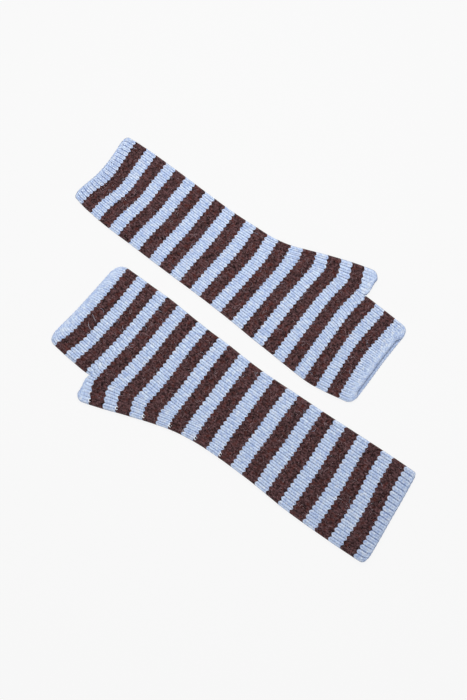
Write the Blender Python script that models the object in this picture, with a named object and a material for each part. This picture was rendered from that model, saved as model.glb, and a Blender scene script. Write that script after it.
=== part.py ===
"""A pair of long fingerless wrist warmers, knitted in stripes of two colours and laid out flat.

Each warmer is one knitted panel, folded along the little-finger side and seamed along the thumb
side, so it is a flat tube of two layers with an opening for the forearm, the hand and the thumb.
The cloth is a rib of one plain wale and one sunk wale: broad ribs with narrow grooves between.
Towards the thumb the panel is widened inside its edge: four ribs follow the edge outwards, and new
ribs start on the line where they leave the others.

A warmer is worked out in its own flat frame, in millimetres: `along` runs from the forearm opening
to the hand opening, `across` from the little-finger side to the thumb side, and `height` up from
the table. Courses, the rows of knitting, are counted from the forearm opening: six of them for the
band at each opening, and six for each of the 25 stripes between the bands.
"""
from collections import namedtuple
from math import radians, sqrt

import bmesh
import bpy
from mathutils import Vector

MILLIMETRE = 0.001

# The cloth
WALL = 2.0                # one layer of knitting, measured in a groove
RIB_HEIGHT = 0.7          # how far a rib stands out of its grooves
HOLLOW = 0.8              # the slack between the two layers
FOLD_WALL = 2.3           # the knitting where it turns round a side
FOLD_RADIUS = (WALL + HOLLOW + WALL) / 2
RIB_SHOULDERS = (0.28, 0.72)      # the top of a rib, as shares of its width
FULL_RIB_WIDTH = 2.0      # a rib that is narrower than this, where it begins, is lower too
RIM_ROUNDING = 0.5        # how much an opening's edge is rounded over

# The knitting
MAIN_RIBS = 15            # ribs that run from the forearm into the hand
GUSSET_RIBS = 6           # ribs added in the hand on the way to the thumb
EDGE_RIBS = 4             # ribs that follow the thumb-side edge and form the thumb's stub
FULL_BEND = 0.42          # slope of the courses in the edge ribs next to the thumb
BEND_EASE = 7.0           # how far from the fork the courses take to turn

# Where the course lines below are measured, across the warmer
PLACES = {"little": -41.5, "near_little": -21.0, "middle": 0.0, "near_thumb": 19.0, "thumb": 37.5}

# The sections of a solid
BODY_STEPS = 10           # sections between the forearm band and the gusset
GUSSET_STEPS = 12         # two for each rib that is added
HAND_STEPS = 3            # sections between the thumb and the rounded hand opening
INNER_MAIN_COLUMNS = 10   # the plain inside needs few columns
UNDER_MAIN_COLUMNS = 8
PLAIN_EDGE_COLUMNS = 2
FOREARM_COURSES = (0, 0.25, 0.8, 1.8, 6)          # close together where the corners are round
MOUTH_EDGE_COURSES = (3.8, 2.0, 0.9, 0.25, 0)      # the same at the hand, counted back
PAST_CROTCH_COURSES = 1.2
STUB_RISES = (0.35, 0.65, 0.88, 1.0)               # the same over the thumb's stub
STUB_AT_CROTCH = 0.7      # the stub's length beside the hand
STUB_HOLLOW = 2.0         # above 1 its rim is hollow there
SIDE_SHARE = 0.3          # where a round side has a point between its top and its middle
CROTCH_GAP = 0.8          # the thumb's rim stands this far from the hand
CROTCH_WALL_COURSES = 1.3         # the wall at the crotch, in courses
MOUTH_COURSES = 10.5      # the courses over which the hand opening's layers part
MOUTH_SIDE_SHARE = 0.09   # the share of the width in which they part at each side
MERGE_DISTANCE = 0.00001

Line = namedtuple("Line", "course little near_little middle near_thumb thumb")
Place = namedtuple("Place", "across along")
Section = namedtuple("Section", "along little fork thumb")
Corners = namedtuple("Corners", "forearm_little forearm_thumb hand_little hand_fork thumb")
Warmer = namedtuple(
    "Warmer",
    "name lines sections corners gusset_course crotch_course last_course"
    " thumb_rise mouth_lift draw_back place turn",
)

# Where some courses cross the warmer: the distance along it at five places across. They slant and
# bow a little, as soft knitting does.
LOWER_LINES = (
    #    course  little  near_little  middle  near_thumb  thumb
    Line(0, 6.0, 4.1, 2.6, 1.1, -0.2),
    Line(6, 17.1, 15.9, 12.8, 11.2, 11.2),
    Line(36, 75.8, 75.3, 74.4, 74.7, 75.2),
    Line(58, 118.7, 119.7, 119.9, 121.0, 120.9),
    Line(84, 171.7, 172.8, 173.8, 174.6, 174.6),
    Line(108, 216.6, 218.5, 219.5, 221.1, 224.0),
    Line(132, 259.5, 261.4, 263.6, 266.5, 269.7),
    Line(156, 300.6, 302.4, 305.2, 308.3, 315.1),
    Line(161, 309.6, 312.3, 315.3, 318.9, 322.2),
)
UPPER_LINES = (
    Line(0, -1.4, 1.4, 6.9, 8.4, 7.6),
    Line(6, 7.5, 11.2, 17.8, 18.6, 18.1),
    Line(30, 48.2, 51.1, 55.5, 57.2, 59.6),
    Line(60, 101.9, 103.9, 106.7, 108.4, 110.4),
    Line(84, 143.8, 146.9, 149.8, 151.7, 150.5),
    Line(108, 189.0, 190.5, 192.5, 194.7, 197.1),
    Line(138, 243.9, 243.9, 244.4, 245.5, 248.6),
    Line(156, 275.7, 274.7, 274.5, 277.0, 278.9),
    Line(163, 288.0, 289.1, 289.9, 291.3, 293.2),
)

# The outline: the little-finger side, the thumb side, and between them the fork, where the edge
# ribs leave the main ones. Past the crotch the fork is the hand's own thumb-side edge.
LOWER_SECTIONS = (
    #       along  little  fork  thumb
    Section(0, -43.4, 25.3, 43.6),
    Section(27, -43.8, 25.4, 43.9),
    Section(66, -43.2, 25.0, 43.3),
    Section(86, -42.8, 24.4, 42.3),
    Section(106, -42.5, 22.8, 40.3),
    Section(126, -42.4, 21.6, 38.8),
    Section(156, -42.2, 21.0, 37.7),
    Section(176, -43.1, 22.4, 38.2),
    Section(196, -44.7, 26.6, 40.8),
    Section(216, -45.6, 30.4, 46.0),
    Section(236, -47.2, 33.4, 52.2),
    Section(256, -49.0, 36.9, 58.8),
    Section(278, -49.7, 40.7, 65.2),
    Section(296, -50.3, 39.4, 70.0),
    Section(306, -50.4, 38.1, 72.5),
    Section(322, -49.8, 35.6, 76.0),
)
UPPER_SECTIONS = (
    Section(0, -28.0, 21.0, 37.0),
    Section(13, -31.2, 22.4, 37.5),
    Section(23, -32.7, 22.9, 37.9),
    Section(38, -34.3, 22.6, 37.9),
    Section(58, -35.3, 21.9, 37.2),
    Section(98, -37.5, 19.9, 35.3),
    Section(118, -38.4, 19.1, 34.6),
    Section(138, -39.4, 19.2, 34.9),
    Section(158, -40.8, 20.8, 35.6),
    Section(173, -42.0, 24.4, 38.4),
    Section(187, -43.5, 28.8, 43.2),
    Section(207, -45.1, 33.6, 50.2),
    Section(227, -46.8, 36.6, 56.3),
    Section(248, -48.1, 38.4, 61.6),
    Section(262, -46.9, 37.6, 65.0),
    Section(282, -43.8, 36.2, 70.0),
    Section(292, -41.8, 35.2, 72.5),
)

LOWER = Warmer(
    name="lower_warmer",
    lines=LOWER_LINES,
    sections=LOWER_SECTIONS,
    corners=Corners(2.8, 5.4, 8.0, 6.0, 5.2),
    gusset_course=85,
    crotch_course=135.4,
    last_course=161,
    thumb_rise=5.2,       # how far the thumb's stub rises above the crotch's course, at its edge
    mouth_lift=0.3,       # how far the hand opening's upper layer stands off
    draw_back=0.0,        # how far its edge lies behind the lower layer's
    place=(133.2, -142.3),
    turn=146.0,
)
UPPER = Warmer(
    name="upper_warmer",
    lines=UPPER_LINES,
    sections=UPPER_SECTIONS,
    corners=Corners(3.2, 5.2, 5.2, 5.8, 5.8),
    gusset_course=88,
    crotch_course=136.9,
    last_course=163,
    thumb_rise=5.6,
    mouth_lift=1.2,
    draw_back=3.4,
    place=(-116.8, 151.7),
    turn=-34.0,
)

BROWN_WOOL = (0.056, 0.027, 0.024, 1.0)
BLUE_WOOL = (0.41, 0.55, 0.80, 1.0)
WOOL_ROUGHNESS = 0.9


# ---------------------------------------------------------------- reading the tables

def read(table, column, at):
    """A column's value at a place along the table, on a smooth curve through its rows."""
    keys = [row[0] for row in table]
    values = [getattr(row, column) for row in table]
    last = len(keys) - 1
    low = max(0, min(last - 1, sum(1 for key in keys if key <= at) - 1))
    high = low + 1

    def slope(index):
        before = max(0, index - 1)
        after = min(last, index + 1)
        return (values[after] - values[before]) / (keys[after] - keys[before])

    span = keys[high] - keys[low]
    share = (at - keys[low]) / span
    rise = values[high] - values[low]
    if share < 0:
        return values[low] + slope(low) * share * span
    if share > 1:
        return values[high] + slope(high) * (share - 1) * span
    turn_in = slope(low) * span - rise
    turn_out = rise - slope(high) * span
    bow = share * (1 - share) * ((1 - share) * turn_in + share * turn_out)
    return values[low] + rise * share + bow


def clamp(value, lowest=0.0, highest=1.0):
    return max(lowest, min(highest, value))


def ease(share):
    """A smooth step from 0 to 1."""
    share = clamp(share)
    return share * share * (3 - 2 * share)


# ---------------------------------------------------------------- the flat knitting

def course_line(warmer, course, across):
    """Where a course of the main ribs crosses a place: a smooth curve through the five places."""
    places = [Place(at, read(warmer.lines, column, course)) for column, at in PLACES.items()]
    return read(places, "along", across)


def gusset_share(warmer, course):
    """How much of the gusset has been added by a course: 0 before it, 1 at the crotch."""
    return clamp((course - warmer.gusset_course) / (warmer.crotch_course - warmer.gusset_course))


def along_at(warmer, course, across, fork):
    """Where a course crosses a place, with its turn towards the forearm in the edge ribs."""
    beyond = max(0.0, across - fork)
    eased = beyond - BEND_EASE / 2 if beyond > BEND_EASE else beyond * beyond / (2 * BEND_EASE)
    bend = FULL_BEND * ease(2 * gusset_share(warmer, course))
    return course_line(warmer, course, min(across, fork + BEND_EASE)) - bend * eased


def rounded_in(radius, distance):
    """How far a rounded corner draws a side in, at a distance from the opening."""
    if distance >= radius:
        return 0.0
    return radius - sqrt(max(0.0, radius * radius - (radius - distance) ** 2))


def row_edges(warmer, course):
    """The little-finger side, fork and thumb side of a row, as places across the warmer."""
    little = PLACES["little"]
    fork = PLACES["near_thumb"]
    thumb = PLACES["thumb"]
    for _ in range(4):
        little = read(warmer.sections, "little", along_at(warmer, course, little, fork))
        fork = read(warmer.sections, "fork", along_at(warmer, course, fork, fork))
        thumb = read(warmer.sections, "thumb", along_at(warmer, course, thumb, fork))
    corners = warmer.corners
    for_forearm = along_at(warmer, course, little, fork) - along_at(warmer, 0, little, fork)
    little += rounded_in(corners.forearm_little, for_forearm)
    for_forearm = along_at(warmer, course, thumb, fork) - along_at(warmer, 0, thumb, fork)
    thumb -= rounded_in(corners.forearm_thumb, for_forearm)
    last = warmer.last_course
    for_hand = along_at(warmer, last, little, fork) - along_at(warmer, course, little, fork)
    little += rounded_in(corners.hand_little, for_hand)
    if course > warmer.crotch_course:
        for_hand = along_at(warmer, last, fork, fork) - along_at(warmer, course, fork, fork)
        fork -= rounded_in(corners.hand_fork, for_hand)
    return little, fork, thumb


def main_rib_shares(warmer, course):
    """The grooves beside the main ribs, as shares of the way from the little side to the fork.

    Gusset ribs that haven't begun yet have no width, and the newest one grows from none.
    """
    ribs = MAIN_RIBS + GUSSET_RIBS * gusset_share(warmer, course)
    return [min(number, ribs) / ribs for number in range(MAIN_RIBS + GUSSET_RIBS + 1)]


def even_shares(count):
    return [number / count for number in range(count + 1)]


def ribbed(grooves, width):
    """Grooves and shoulders across some ribs: pairs of a share and a height above the groove."""
    pairs = []
    for left, right in zip(grooves, grooves[1:]):
        rib = right - left
        height = RIB_HEIGHT * clamp(width * rib / FULL_RIB_WIDTH)
        pairs.append((left, 0.0))
        pairs.extend((left + rib * shoulder, height) for shoulder in RIB_SHOULDERS)
    pairs.append((grooves[-1], 0.0))
    return pairs


# ---------------------------------------------------------------- the two surfaces of the wall

Surface = namedtuple("Surface", "inset radius base ribs main_columns edge_columns under_columns")
OUTSIDE = Surface(0.0, FOLD_RADIUS, 0.0, True, None, None, UNDER_MAIN_COLUMNS)
INSIDE = Surface(FOLD_WALL, HOLLOW / 2, WALL, False, INNER_MAIN_COLUMNS, PLAIN_EDGE_COLUMNS,
                 INNER_MAIN_COLUMNS)

# One section of a surface. `rise` is the share of the thumb stub's length that it lies at.
Row = namedtuple("Row", "course rise rim")

# A ring of points round a section, in four runs: up and over from the little-finger side to the
# fork, on to the thumb side, back under to the fork, and back under to the little-finger side.
Ring = namedtuple("Ring", "over_main over_edge under_edge under_main")


def across_pairs(surface, warmer, row, main_width, edge_width):
    """Shares and heights of the upper points, for the main ribs and for the edge ribs."""
    if surface.ribs:
        main = ribbed(main_rib_shares(warmer, row.course), main_width)
        edge = ribbed(even_shares(EDGE_RIBS), edge_width)
    else:
        main = [(share, 0.0) for share in even_shares(surface.main_columns)]
        edge = [(share, 0.0) for share in even_shares(surface.edge_columns)]
    return main, edge


def place_point(warmer, surface, row, across, low, high, fork, over, relief=0.0, level=None):
    """One point of a ring.

    `low` and `high` are the sides of the tube that it is on. The sides are half circles, and
    `level` sets a height directly, from 0 under the wall to 1 on top of it.
    """
    radius = surface.radius
    depth = max(0.0, min(across - low, high - across, radius))
    rise = sqrt(max(0.0, radius * radius - (radius - depth) ** 2))
    outward = (radius - depth) / radius * (-1 if across - low < high - across else 1)
    height = surface.base + radius + (rise if over else -rise)
    if level is not None:
        height = surface.base + 2 * radius * level
        outward = 0.0
    share = clamp((across - low) / (high - low))
    along = along_at(warmer, row.course, across, fork)
    if row.rise is not None:
        reach = clamp((across - fork) / (read(warmer.sections, "thumb", along) - fork))
        along += row.rise * (STUB_AT_CROTCH + (warmer.thumb_rise - STUB_AT_CROTCH) * reach ** STUB_HOLLOW)
    else:
        near_mouth = ease((row.course - warmer.last_course + MOUTH_COURSES) / MOUTH_COURSES)
        clear_of_sides = ease(min(share, 1 - share) / MOUTH_SIDE_SHARE)
        if over:
            height += warmer.mouth_lift * near_mouth * clear_of_sides
            along -= warmer.draw_back * near_mouth * clear_of_sides
    height += relief * rise / radius
    if row.rim and surface.ribs:
        middle = surface.base + radius
        height = middle + (height - middle) * (1 - RIM_ROUNDING / radius)
    return Vector((along, across + relief * outward, height)) * MILLIMETRE


def under_acrosses(low, high, columns):
    """Places across the flat of an underside, ends included."""
    return [low + (high - low) * share for share in even_shares(columns)]


def body_ring(warmer, surface, row):
    """A whole section between the forearm and the crotch."""
    little, fork, thumb = row_edges(warmer, row.course)
    low = little + surface.inset
    high = thumb - surface.inset
    main, edge = across_pairs(surface, warmer, row, fork - low, high - fork)

    def point(across, over, relief=0.0):
        return place_point(warmer, surface, row, across, low, high, fork, over, relief)

    radius = surface.radius
    over_main = [point(low + (fork - low) * share, True, relief) for share, relief in main]
    over_edge = [point(fork + (high - fork) * share, True, relief) for share, relief in edge[1:]]
    turned = radius * SIDE_SHARE
    flat_edge = under_acrosses(fork, high - radius, PLAIN_EDGE_COLUMNS)
    flat_main = under_acrosses(low + radius, fork, surface.under_columns)
    under_edge = [point(across, False) for across in [high - turned] + flat_edge[:0:-1]]
    under_main = [point(across, False) for across in flat_main[::-1] + [low + turned]]
    return Ring(over_main, over_edge, under_edge, under_main)


def hand_ring(warmer, surface, row):
    """A section of the hand, past the crotch: its two runs and the side that joins them."""
    little, fork, _ = row_edges(warmer, row.course)
    low = little + surface.inset
    high = fork - surface.inset
    radius = surface.radius
    main, _ = across_pairs(surface, warmer, row, high - low, 1.0)

    def point(across, over, relief=0.0, level=None):
        return place_point(warmer, surface, row, across, low, high, fork, over, relief, level)

    over = [point(low + (high - radius - low) * share, True, relief) for share, relief in main]
    turned = radius * SIDE_SHARE
    side = [point(high - turned, True), point(high, True), point(high - turned, False)]
    flat = under_acrosses(low + radius, high - radius, surface.under_columns)
    under = [point(across, False) for across in flat[::-1] + [low + turned]]
    return over + side + under


def thumb_ring(warmer, surface, row):
    """A section of the thumb's short stub, from its side at the crotch round and back."""
    _, fork, _ = row_edges(warmer, row.course)
    radius = surface.radius
    low = fork + CROTCH_GAP * row.rise + surface.inset
    edge_along = along_at(warmer, row.course, PLACES["thumb"], fork)
    for _ in range(4):
        thumb = read(warmer.sections, "thumb", edge_along + row.rise * warmer.thumb_rise)
        edge_along = along_at(warmer, row.course, thumb, fork)
    thumb -= rounded_in(warmer.corners.thumb, (1 - row.rise) * warmer.thumb_rise)
    high = thumb - surface.inset
    _, edge = across_pairs(surface, warmer, row, 1.0, high - low)

    def point(across, over, relief=0.0):
        return place_point(warmer, surface, row, across, low, high, fork, over, relief)

    over = [point(low + radius + (high - radius - low) * share, True, relief) for share, relief in edge]
    turned = radius * SIDE_SHARE
    flat = under_acrosses(low + radius, high - radius, PLAIN_EDGE_COLUMNS)
    under = [point(across, False) for across in [high - turned] + flat[::-1]]
    side = [point(low + turned, False), point(low, True), point(low + turned, True)]
    return over + under + side


def crotch_side(warmer, surface, row):
    """The short upright line at the crotch, where the hand and the thumb part."""
    little, fork, thumb = row_edges(warmer, row.course)
    low = little + surface.inset
    high = thumb - surface.inset
    return [place_point(warmer, surface, row, fork, low, high, fork, True, 0.0, level)
            for level in (0.75, 0.5, 0.25)]


# ---------------------------------------------------------------- building the mesh

def join_rings(mesh, first, second):
    """Faces between two rings of as many points."""
    count = len(first)
    for index in range(count):
        after = (index + 1) % count
        mesh.faces.new((first[index], first[after], second[after], second[index]))


def around(ring):
    """How far round a ring each of its points lies, as shares of its length, and 1 at the end."""
    lengths = [0.0]
    for index, vertex in enumerate(ring):
        after = ring[(index + 1) % len(ring)]
        lengths.append(lengths[-1] + (after.co - vertex.co).length)
    return [length / lengths[-1] for length in lengths]


def join_unlike_rings(mesh, first, second):
    """Triangles between two rings of unlike counts that start side by side."""
    first_round = around(first)
    second_round = around(second)
    at_first = 0
    at_second = 0
    while at_first < len(first) or at_second < len(second):
        here = first[at_first % len(first)]
        there = second[at_second % len(second)]
        next_first = first_round[at_first + 1] if at_first < len(first) else 2.0
        next_second = second_round[at_second + 1] if at_second < len(second) else 2.0
        if next_first <= next_second:
            at_first += 1
            mesh.faces.new((here, first[at_first % len(first)], there))
        else:
            at_second += 1
            mesh.faces.new((here, second[at_second % len(second)], there))


def between(start, end, steps):
    """Even steps after a start, up to an end."""
    return [start + (end - start) * number / steps for number in range(1, steps + 1)]


def body_rows(warmer, crotch):
    """The sections from the forearm opening to the crotch."""
    courses = list(FOREARM_COURSES)
    courses += between(courses[-1], warmer.gusset_course, BODY_STEPS)
    gusset = between(warmer.gusset_course, warmer.crotch_course, GUSSET_STEPS)
    courses += [course for course in gusset if course < crotch - 1] + [crotch]
    return [Row(course, None, course == 0) for course in courses]


def hand_rows(warmer):
    """The sections from just past the crotch to the hand opening."""
    first = warmer.crotch_course + PAST_CROTCH_COURSES
    to_mouth = [warmer.last_course - back for back in MOUTH_EDGE_COURSES]
    courses = [first] + between(first, to_mouth[0], HAND_STEPS) + to_mouth[1:]
    return [Row(course, None, course == warmer.last_course) for course in courses]


def thumb_rows(warmer):
    return [Row(warmer.crotch_course, rise, rise == STUB_RISES[-1]) for rise in STUB_RISES]


def build_surface(mesh, warmer, surface):
    """The inside or the outside of a warmer: three open ends, whose last rings it returns."""

    def add(points):
        return [mesh.verts.new(point) for point in points]

    crotch = warmer.crotch_course
    if not surface.ribs:
        crotch -= CROTCH_WALL_COURSES
    rows = body_rows(warmer, crotch)
    rings = [Ring(*(add(run) for run in body_ring(warmer, surface, row))) for row in rows]
    loops = [sum(ring, []) for ring in rings]
    for first, second in zip(loops, loops[1:]):
        join_rings(mesh, first, second)

    side = add(crotch_side(warmer, surface, rows[-1]))
    last = rings[-1]
    hand = last.over_main + side + last.under_main
    thumb = [last.over_main[-1]] + last.over_edge + last.under_edge + [last.under_main[0]]
    thumb += side[::-1]
    for row in hand_rows(warmer):
        after = add(hand_ring(warmer, surface, row))
        join_rings(mesh, hand, after)
        hand = after
    for row in thumb_rows(warmer):
        after = add(thumb_ring(warmer, surface, row))
        join_rings(mesh, thumb, after)
        thumb = after
    return loops[0], hand, thumb


def build_warmer(warmer, material, collection):
    """One warmer as a closed wall: its outside and inside, joined round the three openings."""
    mesh = bmesh.new()
    outside = build_surface(mesh, warmer, OUTSIDE)
    inside = build_surface(mesh, warmer, INSIDE)
    for outer_ring, inner_ring in zip(outside, inside):
        join_unlike_rings(mesh, outer_ring, inner_ring)
    bmesh.ops.remove_doubles(mesh, verts=mesh.verts, dist=MERGE_DISTANCE)
    bmesh.ops.recalc_face_normals(mesh, faces=mesh.faces)
    bmesh.ops.triangulate(mesh, faces=mesh.faces)
    data = bpy.data.meshes.new(warmer.name)
    mesh.to_mesh(data)
    mesh.free()
    data.materials.append(material)
    warmer_object = bpy.data.objects.new(warmer.name, data)
    warmer_object.location = Vector((*warmer.place, 0)) * MILLIMETRE
    warmer_object.rotation_euler = (0, 0, radians(warmer.turn))
    collection.objects.link(warmer_object)
    return warmer_object


def wool(name, colour):
    """Knitted wool: matt and of one colour here."""
    material = bpy.data.materials.new(name)
    material.use_nodes = True
    shader = material.node_tree.nodes["Principled BSDF"]
    shader.inputs["Base Color"].default_value = colour
    shader.inputs["Roughness"].default_value = WOOL_ROUGHNESS
    shader.inputs["Metallic"].default_value = 0.0
    return material


def centre_on_origin(objects):
    """Puts the middle of the ground that the pair covers at the origin."""
    bpy.context.view_layer.update()
    corners = [part.matrix_world @ vertex.co for part in objects for vertex in part.data.vertices]
    for axis in (0, 1):
        places = [corner[axis] for corner in corners]
        middle = (min(places) + max(places)) / 2
        for part in objects:
            part.location[axis] -= middle


def main():
    for old in list(bpy.data.objects):
        bpy.data.objects.remove(old, do_unlink=True)
    collection = bpy.data.collections.new("pair_of_wrist_warmers")
    bpy.context.scene.collection.children.link(collection)
    pair = []
    for warmer, colour in ((LOWER, BROWN_WOOL), (UPPER, BLUE_WOOL)):
        material = wool(warmer.name + "_wool", colour)
        pair.append(build_warmer(warmer, material, collection))
    centre_on_origin(pair)


main()
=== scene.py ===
"""Looks of a pair of long fingerless wrist warmers, knitted in striped lambswool and laid out flat.

Each warmer is one knitted tube, worked stitch by stitch over the shape of its plain solid. Its flat
frame is in millimetres, as in the solid's source: `along` runs from the forearm opening to the hand
opening, `across` from the little-finger side to the thumb side, and `height` up from the table.
Courses, the rows of knitting, are counted from the forearm opening, and ribs from the
little-finger side.
"""

from collections import namedtuple
from math import pi

import bmesh
import bpy
import numpy as np
from mathutils import Matrix, Vector


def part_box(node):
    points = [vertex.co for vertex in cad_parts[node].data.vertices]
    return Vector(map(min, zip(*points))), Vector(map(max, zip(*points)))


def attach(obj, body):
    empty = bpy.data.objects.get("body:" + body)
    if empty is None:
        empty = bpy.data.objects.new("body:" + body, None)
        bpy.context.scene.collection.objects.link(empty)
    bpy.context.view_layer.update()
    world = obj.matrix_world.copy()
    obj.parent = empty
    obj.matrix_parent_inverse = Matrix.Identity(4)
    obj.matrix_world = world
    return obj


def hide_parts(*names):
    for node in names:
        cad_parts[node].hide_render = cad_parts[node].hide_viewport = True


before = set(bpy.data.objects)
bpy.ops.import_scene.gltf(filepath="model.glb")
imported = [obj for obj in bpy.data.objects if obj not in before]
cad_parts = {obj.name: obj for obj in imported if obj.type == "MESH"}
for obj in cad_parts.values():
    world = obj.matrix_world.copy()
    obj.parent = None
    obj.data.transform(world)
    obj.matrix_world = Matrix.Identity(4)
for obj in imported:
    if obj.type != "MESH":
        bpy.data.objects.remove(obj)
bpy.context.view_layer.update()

MILLIMETRE = 0.001
TINY = 1e-6               # keeps a division away from zero
SETTLE_ROUNDS = 4         # rounds in which a place that depends on itself settles

# The wools' places among the materials of a piece
BLUE = 0
BROWN = 1

# The knitting
COURSES_PER_STRIPE = 6
BROWN_OVERLAP = 1 / 3     # how far the loops of a brown stripe show past its last course
STRIPES = 25              # the first and the last are brown, with a blue band beyond each
MAIN_RIBS = 15            # ribs that run from the forearm into the hand
GUSSET_RIBS = 6           # ribs added in the hand on the way to the thumb
EDGE_RIBS = 4             # ribs that follow the thumb-side edge and form the thumb's stub
FULL_RIB_WIDTH = 2.0      # a rib that is narrower than this, where it begins, is flatter too
FULL_BEND = 0.42          # slope of the courses in the edge ribs next to the thumb
BEND_EASE = 7.0           # how far from the fork the courses take to turn
BEND_GROWTH = 0.5         # the share of the gusset over which their slope grows to the full one

# Where the course lines below are measured, across the warmer
PLACES = {"little": -41.5, "near_little": -21.0, "middle": 0.0, "near_thumb": 19.0, "thumb": 37.5}

# The cloth
LAYER_MIDDLE = 2.5        # the height half way between the two layers
HALF_THICKNESS = 2.1      # from there to the bottom of an upper groove
RIB_HEIGHT = 0.9
UNDER_RIB_HEIGHT = 0.4
RIB_AT_OPENING = 0.2      # the share of a rib's height that is left on an opening's edge
INNER_HALF = 0.4          # half the slack between the layers
SIDE_WALL = 1.9           # the wall where it turns round a side
RIM_DROP = 0.55           # how much an opening's edge is rounded down
RIM_BULGE = 0.45          # and how far it stands out beyond its last course

# A stitch: the share of the rib's height at places from its middle, 0, to the groove, 1
LEG_PLACES = (0, 0.33, 0.67, 1.0)
LEG_HEIGHTS = (0.55, 1.0, 0.84, 0.0)
STITCH_DIP = 0.25         # how far the cloth dips between two courses of a rib

# The arch of a course over each rib, in courses, towards the hand
ARCH = 0.9
RIM_ARCH = 0.15           # on an opening's edge
ARCH_POWER = 1.2          # 1 would be a zigzag, and 2 a round arch
MEAN_ARCH_PLACE = 0.4     # so that the arches lie evenly about the course's line

# Courses over which ribs and arches flatten towards an opening
FOREARM_FADE = 2.2
HAND_FADE = 4.5
STUB_FADE_SHARE = 1 / 3   # the thumb's fade sets in over this share of the stub, from the crotch on

# The mesh
ROWS_PER_COURSE = 3
UPPER_COLUMNS = 6         # for each rib
UNDER_COLUMNS = 2
SIDE_STEPS = 6
STUB_ROWS = 9
INNER_STUB_ROWS = (0.3, 0.7, 1.0)
INNER_ROW_COURSES = 3     # from one row of the inside to the next
INNER_RIM_ROW = 0.4       # the first row of the inside, this far from an opening or the crotch
INNER_HAND_COURSE = 144   # where the rows of the inside go on past the crotch
MERGE_DISTANCE = 0.000002

# The flat map: the place of each run of the upper side, and of each round side by the crotch. The
# inside of a run lies next to its outside, and the underside half a map to the right.
Island = namedtuple("Island", "left bottom width height")
RUN_ISLANDS = {"main": Island(0.0, 0.0, 0.2, 1.0), "edge": Island(0.41, 0.0, 0.04, 0.84)}
SIDE_ISLANDS = {"main": Island(0.41, 0.86, 0.04, 0.06), "edge": Island(0.41, 0.93, 0.04, 0.06)}
MAP_HALF = 0.5
MAP_GAP = 0.005

# Loose fibres on the upper side. A real one is 0.02 mm thick, and these are drawn thicker to show.
FIBRE_DOUBLINGS = 11      # one fibre doubled this often gives 2048 for each warmer
FIBRE_SIDES = 3
FIBRE_STEPS = 4
FIBRE_RADIUS = 0.07
FIBRE_LENGTH = (2.0, 6.5)
FIBRE_LIFT = (0.18, 0.6)  # how far one's middle stands above its ends
FIBRE_BOW = 0.5           # how far its middle may bow sideways, in shares of its length
FIBRE_OVERHANG = 0.9      # how far one may reach beyond the outline
FIBRE_MARGIN = 2          # rows at each end of a grid where none starts
LONG_FIBRE_RADIUS = 0.12

# The loops by the thumb side: a pale one, and in it the dark end of the yarn it takes over from.
# `tilt` is in radians.
Loop = namedtuple("Loop", "wool radius tilt")
LOOPS = (Loop(BLUE, 1.3, 0.5), Loop(BROWN, 0.546, -0.7))
LOOP_INSET = 3.2          # from the thumb side
LOOP_SEGMENTS = 12
YARN_RADIUS = 0.42
YARN_SEGMENTS = 6

# The openings
STUB_COURSES = 2.7        # the thumb stub's length at its thumb side
STUB_AT_CROTCH = 0.7      # the thumb stub's length beside the hand
STUB_HOLLOW = 2.0         # above 1 its rim is hollow there
STUB_ROUND_SHARE = 0.5    # the share of its length in which its side by the hand rounds out
CROTCH_GAP = 0.8          # the thumb's rim stands this far from the hand
CROTCH_WALL_COURSES = 1.3
CROTCH_EASE = 1.3         # courses in which the hand's side rounds out past the crotch
MOUTH_COURSES = 10.5      # courses over which the hand opening's layers part
MOUTH_SIDE_SHARE = 0.09   # the share of the width in which they part at each side

Line = namedtuple("Line", "course little near_little middle near_thumb thumb")
Section = namedtuple("Section", "along little fork thumb")
Corners = namedtuple("Corners", "forearm_little forearm_thumb hand_little hand_fork thumb")
# `turn` is in degrees, and `cut` and `cut_area`, the flat size of the panel that the warmer is made
# of, in metres and square metres.
Warmer = namedtuple(
    "Warmer",
    "name node lines sections corners gusset_course crotch_course last_course thumb_rise thumb_fade"
    " mouth_lift draw_back turn cut cut_area seed long_fibres loop_courses",
)

# Where some courses cross the warmer: the distance along it at five places across.
LOWER_LINES = (
    #    course  little  near_little  middle  near_thumb  thumb
    Line(0, 6.0, 4.1, 2.6, 1.1, -0.2),
    Line(6, 17.0, 15.9, 12.9, 11.2, 11.1),
    Line(36, 75.8, 75.3, 74.4, 74.7, 75.2),
    Line(58, 118.6, 119.8, 120.0, 121.1, 120.9),
    Line(84, 171.7, 172.8, 173.8, 174.7, 174.5),
    Line(108, 216.5, 218.6, 219.5, 221.1, 224.0),
    Line(132, 259.6, 261.5, 263.6, 266.7, 269.6),
    Line(156, 300.4, 302.3, 305.3, 308.3, 315.1),
    Line(161, 309.6, 312.3, 315.3, 318.9, 322.2),
)
UPPER_LINES = (
    Line(0, -1.4, 1.4, 6.9, 8.4, 7.6),
    Line(6, 8.4, 10.6, 17.3, 18.1, 17.8),
    Line(30, 48.3, 50.5, 55.1, 56.7, 59.2),
    Line(60, 101.6, 103.4, 106.3, 107.9, 109.9),
    Line(84, 143.5, 146.3, 149.3, 151.3, 149.7),
    Line(108, 188.5, 190.1, 192.0, 194.2, 196.6),
    Line(138, 243.4, 243.5, 244.0, 244.9, 248.2),
    Line(156, 275.2, 274.3, 274.0, 276.6, 278.6),
    Line(163, 288.0, 289.1, 289.9, 291.3, 293.2),
)

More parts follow.
